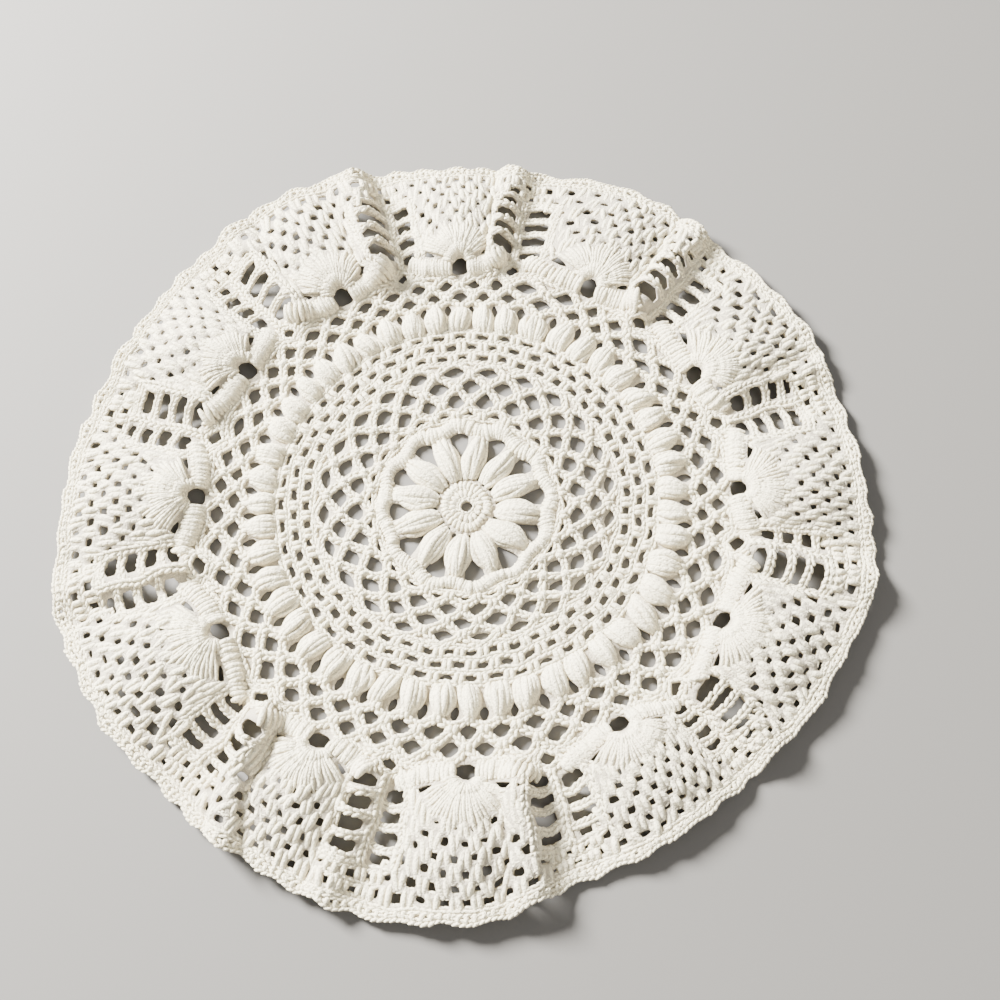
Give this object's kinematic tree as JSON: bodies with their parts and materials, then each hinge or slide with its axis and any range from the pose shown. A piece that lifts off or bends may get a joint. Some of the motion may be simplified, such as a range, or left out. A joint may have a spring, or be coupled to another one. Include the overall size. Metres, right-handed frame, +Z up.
{
  "type": "lace doily",
  "caption": "Round crocheted cotton lace doily with a petalled middle, open nets, a puffed ring and a ruffled border of fans.",
  "frame": {"origin": "middle of the underside's outline box, on the surface that the doily lies on", "axes": "+Z up, the cloth's thin direction; -Y towards the viewer; fans stand at about every 30 degrees, the first towards +Y"},
  "size_m": [0.3206, 0.3216, 0.0152],
  "materials": {
    "cotton": "natural off-white crochet cotton, matt, soft and faintly fuzzy"
  },
  "bodies": {
    "root": {"doily": "cotton"}
  },
  "joints": []
}
